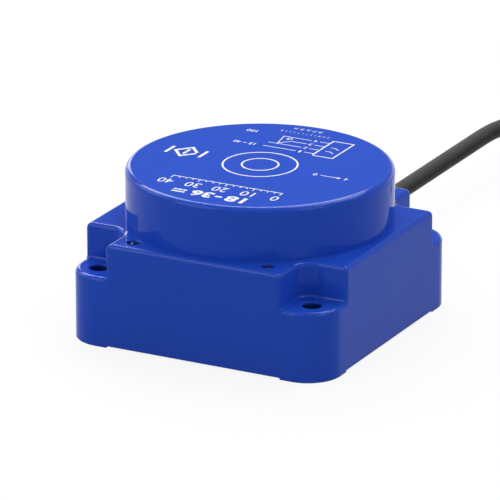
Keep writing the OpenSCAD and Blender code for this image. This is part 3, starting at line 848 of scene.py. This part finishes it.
def housing():
    body = outer_block()
    head = upright_rod("head", 0, 0, DECK_TOP - 2 * mm, BODY_TOP - INK, HEAD_R, 192)
    bevel_edges(head, lambda a, b: near(a.z, BODY_TOP - INK) and near(b.z, BODY_TOP - INK),
                HEAD_RIM, 8)
    add_on(body, head)
    roof = DECK_TOP - DECK_T
    cut(body, *inner_space(COVER_LEDGE, -BEYOND, COVER_HIGH.z))
    cut(body, *inner_space(0, COVER_HIGH.z - mm, roof))
    cut(body, upright_rod("space", 0, 0, roof - mm, BODY_TOP - FACE_T, HEAD_R - WALL, 192))
    bosses = corner_places(BOSS_X, BOSS_Y)
    add_on(body, *(upright_rod("boss", x, y, BOARD_TOP, roof + mm, BOSS_R, 40) for x, y in bosses))
    cut(body, *(upright_rod("bore", x, y, BOARD_TOP - mm, BOARD_TOP + 4.5 * mm, SCREW_R, 24)
                for x, y in bosses))
    cut(body, rod("lead_hole", (0, HALF, LEAD_Z), SHANK_R, 4 * WALL, (math.pi / 2, 0, 0)))
    weld(body)
    return smooth(body)


shell = housing()
dress(shell, "blue_plastic")
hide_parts("housing")
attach(shell, "root")


def closing_cover():
    """Cover under the inner space, with a round recess and a small bevel round its edge."""
    grow = COVER_LEDGE - COVER_GAP
    first, *others = inner_space(grow, COVER_LOW.z, COVER_HIGH.z)
    cover = add_on(first, *others)
    cut(cover, upright_rod("recess", 0, 0, -mm, COVER_LOW.z + RECESS_DEPTH, RECESS_R, 96))
    round_by_weight(cover, lambda a, b: 0.0 if abs(a.z - b.z) > 0.2 * mm else 0.25 * mm, 3)
    cover.name = cover.data.name = "closing_cover"
    return smooth(cover)


cover = closing_cover()
dress(cover, "blue_plastic")
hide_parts("base_cover")
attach(cover, "root")


# ---------------------------------------------------------------- indicator windows
def domed_lens(name, node):
    """Collar under the roof, a stem in the window and a round dome that ends below the deck."""
    low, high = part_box(node)
    collar, stem, dome, edge = (high.x - low.x) / 2, WINDOW_R - 0.05 * mm, 1.5 * mm, 0.15 * mm
    collar_top, top = DECK_TOP - DECK_T, DECK_TOP - 0.1 * mm
    profile = [(0, low.z), *arc((collar - edge, low.z + edge), edge, -90, 0, 3),
               (collar, collar_top), (stem, collar_top), (stem, top - dome),
               *arc((0, top - dome), dome, 0, 90, 12)]
    lens = turned(name, profile, ((low.x + high.x) / 2, (low.y + high.y) / 2, 0), 48)
    smooth(lens, 40)
    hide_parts(node)
    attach(lens, "root")
    return lens


dress(domed_lens("power_window", "power_lens"), "lens_green")
dress(domed_lens("output_window", "output_lens"), "lens_amber")


# ---------------------------------------------------------------- print on the sensing face
# Its own axes: u to its right and v to its top, which are -X and -Y of the part
PRINT_Z = BODY_TOP - INK / 2
LINE, FINE_LINE, RING_LINE = 0.45 * mm, 0.3 * mm, 0.5 * mm
SIGN_LINE, BOLD_LINE = 0.8 * mm, 0.85 * mm


def print_place(u, v):
    return Vector((-u * mm, -v * mm, PRINT_Z))


INK_LEVELS = itertools.cycle((1.0, 0.95, 0.9))     # so that crossing strokes share no face


def stroke(start, stop, width):
    a, b = print_place(*start), print_place(*stop)
    run = b - a
    half = Vector((run.length + width, width, INK * next(INK_LEVELS))) / 2
    bpy.ops.mesh.primitive_cube_add(size=2, location=(a + b) / 2, scale=half,
                                    rotation=(0, 0, math.atan2(run.y, run.x)))
    return settle(bpy.context.object, "stroke")


def path(points, width=LINE, closed=False):
    ends = points[1:] + (points[:1] if closed else [])
    return [stroke(a, b, width) for a, b in zip(points, ends)]


def ring(radius):
    """A ring round the middle of the face."""
    place = print_place(0, 0)
    disc = rod("ring", place, radius * mm + RING_LINE / 2, INK, sides=128)
    return cut(disc, rod("hole", place, radius * mm - RING_LINE / 2, 2 * INK, sides=128))


def numerals(text, u, v, height, width, weight=0.0):
    """Plain numbers, u and v at their middle, fitted to a height and a width in millimetres."""
    bpy.ops.object.text_add()
    text_object = bpy.context.object
    text_object.data.body = text
    text_object.data.offset = weight
    text_object.data.extrude = 0.01
    text_object.data.resolution_u = 4
    bpy.ops.object.convert(target="MESH")
    piece = bpy.context.object
    corners = [Vector(corner) for corner in piece.bound_box]
    low = Vector(map(min, *corners))
    high = Vector(map(max, *corners))
    piece.data.transform(Matrix.Translation(-(low + high) / 2))
    size = high - low
    piece.scale = (width * mm / size.x, height * mm / size.y, INK / size.z)
    piece.rotation_euler.z = math.pi
    piece.location = print_place(u, v)
    return settle(piece, "numerals")


def distance_scale():
    """Ruler with plain numbers, in the middle of the front."""
    reach, top, foot = 16.6, 18.9, 23.6
    marks = [stroke((-reach, top), (reach, top), 0.35 * mm)]
    for i in range(17):
        u, length = -reach + i * reach / 8, 1.6 if i % 4 == 0 else 0.9
        marks.append(stroke((u, top), (u, top + length), FINE_LINE))
    for i, width in enumerate((2.1, 3.9, 4.4, 4.4, 4.4)):
        marks.append(numerals(str(10 * i), -reach + i * reach / 2, foot, 3.5, width))
    return marks


def supply_mark():
    """Bold plain numbers with the sign for direct current."""
    marks = [numerals("18", -7.6, 29.2, 4.3, 5.8, 0.03), numerals("36", 2.6, 29.2, 4.3, 6.4, 0.03),
             stroke((-3.1, 29.2), (-1.9, 29.2), 0.9 * mm), stroke((7.8, 30.1), (11, 30.1), SIGN_LINE)]
    marks += [stroke((u, 28.5), (u + 0.45, 28.5), SIGN_LINE) for u in (7.8, 9.2, 10.6)]
    return marks


def proximity_mark():
    """A diamond with a field line on each side, the plain sign for a sensor of this kind."""
    middle_u, middle_v, reach, rise, field_out, field_half = 23, -0.4, 3.4, 3.9, 5.2, 2.4
    diamond = [(middle_u - reach, middle_v), (middle_u, middle_v + rise),
               (middle_u + reach, middle_v), (middle_u, middle_v - rise)]
    marks = path(diamond, BOLD_LINE, closed=True)
    for side in (-1, 1):
        field_u = middle_u + side * field_out
        marks.append(stroke((field_u, middle_v - field_half), (field_u, middle_v + field_half),
                            BOLD_LINE))
        marks.append(stroke((middle_u, middle_v + side * 0.6), (middle_u, middle_v + side * 1.5),
                            BOLD_LINE))
    return marks


def wiring_diagram():
    """Box with four wires and plain numbers."""
    marks = path([(-9, -13.5), (-15.3, -13.5), (-15.3, -26.9), (-9, -26.9)], closed=True)
    for number, v in zip("1234", (-14.9, -18.2, -21.5, -24.7)):
        marks.append(stroke((-9, v), (-6, v), FINE_LINE))
        marks.append(numerals(number, -4.6, v, 1.7, 0.6 if number == "1" else 1.1))
        marks.append(stroke((-3.2, v), (1.5 if v < -20 else 6.7, v), FINE_LINE))
    for v in (-18.2, -21.5):
        marks += path([(-11, v), (-12.2, v), (-13.6, v + 1)], FINE_LINE)
    marks += path([(1.5, -21.5), (4.2, -18.6), (5.3, -24.7), (1.5, -24.7)], FINE_LINE)
    marks += path([(2.2, -22.6), (3.4, -22.6), (3.4, -23.8), (2.2, -23.8)], FINE_LINE, closed=True)
    return marks


def small_rows():
    """Rows of small plain numbers round the diagram and at the side."""
    rows = [("15", 10.2, -14.8, 1.9), ("40", 14.8, -14.8, 2.2), ("100", 15.4, -24.9, 3.2),
            ("0", -17.2, 0.6, 1.1), ("4", -26.6, 0.6, 1.1)]
    marks = [numerals(text, u, v, 1.7, width, 0.01) for text, u, v, width in rows]
    marks += [stroke((12, -14.8), (12.9, -14.8), FINE_LINE), stroke((-19, 0.6), (-24.8, 0.6), FINE_LINE)]
    marks += path([(-24, 1.1), (-24.8, 0.6), (-24, 0.1)], FINE_LINE)
    for month in range(1, 13):
        marks.append(numerals(str(month), 9.4 - month * 1.3, -28.9, 1.1, 0.28 + 0.32 * (month > 9)))
    for i, year in enumerate(range(24, 29)):
        marks.append(numerals(str(year), 5.3 - i * 1.9, -32.1, 1.2, 1.1))
    return marks


def face_print():
    return joined("face_print", [ring(10.3), ring(5.05)] + distance_scale() + supply_mark()
                  + proximity_mark() + wiring_diagram() + small_rows())


printed = face_print()
dress(printed, "ink")
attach(printed, "root")


# ---------------------------------------------------------------- pieces inside
for subpart in frame["record"]["subparts"]:
    node = frame["nodes"].get(subpart["node"])
    if node is not None and not node.hide_render:
        dress(node, subpart["material_slot"])


# ---------------------------------------------------------------- floor, backdrop and light
LAMP_DISTANCE = 1.4


def lamp(name, azimuth, elevation, size, power):
    """A soft box that faces the object: azimuth 0 is in front of it and 90 at its right."""
    data = bpy.data.lights.new(name, "AREA")
    data.shape, data.size, data.size_y, data.energy = "RECTANGLE", size[0], size[1], power
    light = bpy.data.objects.new(name, data)
    bpy.context.scene.collection.objects.link(light)
    turn, rise = math.radians(azimuth), math.radians(elevation)
    away = Vector((math.sin(turn) * math.cos(rise), -math.cos(turn) * math.cos(rise), math.sin(rise)))
    light.location = AIM + away * LAMP_DISTANCE
    light.rotation_mode = "QUATERNION"
    light.rotation_quaternion = (-away).to_track_quat("-Z", "Y")
    light.visible_camera = False


def pale_floor():
    """White to the eye, with the object's shadow, and a softer white for the light it throws back."""
    bpy.ops.mesh.primitive_circle_add(vertices=96, radius=4.0, fill_type="NGON")
    floor = settle(bpy.context.object, "floor")
    floor.data.transform(Matrix.Translation((0, 0, -0.05 * mm)))
    finish = Finish("pale_floor", (0.9, 0.9, 0.9), 0.8)
    tree = finish.tree
    ray = tree.nodes.new("ShaderNodeLightPath")
    seen = Value(finish, ray.outputs["Is Camera Ray"]) + Value(finish, ray.outputs["Is Glossy Ray"]) \
        + Value(finish, ray.outputs["Is Transmission Ray"])
    white = finish.node("ShaderNodeEmission", inputs={"Color": (1, 1, 1), "Strength": 1.0})
    shaded = finish.node("ShaderNodeBsdfDiffuse", inputs={"Color": (0.95, 0.95, 0.95)})
    pale = finish.node("ShaderNodeBsdfDiffuse", inputs={"Color": (0.42, 0.42, 0.43)})
    sight = finish.node("ShaderNodeMixShader", inputs={0: 0.12, 1: white, 2: shaded})
    face = finish.node("ShaderNodeMixShader", inputs={0: seen, 1: pale, 2: sight})
    tree.links.new(face.socket, tree.nodes["Material Output"].inputs["Surface"])
    floor.data.materials.append(finish.material)


def studio_air():
    """World light: white near the horizon and grey overhead to the eye, and dim for soft light."""
    world = bpy.data.worlds.new("studio_air")
    bpy.context.scene.world = world
    world.use_nodes = True
    nodes, links = world.node_tree.nodes, world.node_tree.links
    direction = nodes.new("ShaderNodeTexCoord")
    height = nodes.new("ShaderNodeSeparateXYZ")
    fade = nodes.new("ShaderNodeMapRange")
    fade.interpolation_type = "SMOOTHSTEP"
    for index, value in enumerate((0.1, 0.26, 1.0, 0.3), start=1):
        fade.inputs[index].default_value = value
    links.new(direction.outputs["Generated"], height.inputs[0])
    links.new(height.outputs["Z"], fade.inputs[0])
    nodes["Background"].inputs["Color"].default_value = (1, 1, 1, 1)
    ray = nodes.new("ShaderNodeLightPath")
    share = nodes.new("ShaderNodeMix")
    share.inputs[3].default_value = 0.4
    links.new(ray.outputs["Is Diffuse Ray"], share.inputs[0])
    links.new(fade.outputs[0], share.inputs[2])
    links.new(share.outputs[0], nodes["Background"].inputs["Strength"])


pale_floor()
studio_air()
lamp("key_box", 157, 58, (1.1, 0.8), 7.3)
lamp("low_back_box", 220, 43, (1.15, 0.45), 8.4)
lamp("left_back_box", 222, 15, (0.3, 0.4), 0.9)
lamp("left_box", 268, 30, (0.8, 0.7), 2.0)
lamp("front_left_box", 325, 32, (0.8, 1.1), 4.2)
lamp("right_box", 75, 30, (0.5, 0.75), 2.05)
bpy.context.scene.view_settings.view_transform = "Standard"
